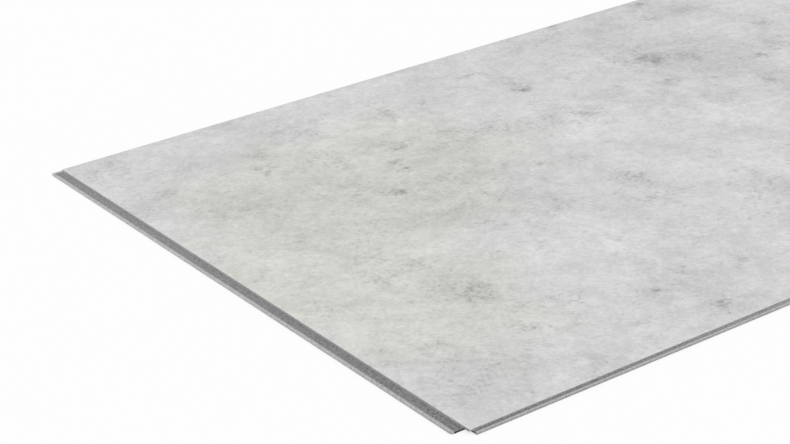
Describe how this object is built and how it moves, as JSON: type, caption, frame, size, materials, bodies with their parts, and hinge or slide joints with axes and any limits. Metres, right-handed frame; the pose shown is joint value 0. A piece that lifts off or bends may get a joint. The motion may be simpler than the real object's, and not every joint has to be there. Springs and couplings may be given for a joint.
{
  "type": "plastic wall panel",
  "caption": "Large flat rigid PVC wall panel with a light grey concrete-look face and milled interlocking edges.",
  "frame": {"origin": "middle of the footprint, lips and tongue included, on the back face", "axes": "+X along the length, away from the lap lip; +Y across the width, towards the tongue; +Z out of the decor face"},
  "size_m": [2.6146, 0.9078, 0.005],
  "materials": {
    "panel": "matt printed concrete look, grey where milled"
  },
  "bodies": {
    "root": {"wall_panel": "panel"}
  },
  "joints": []
}
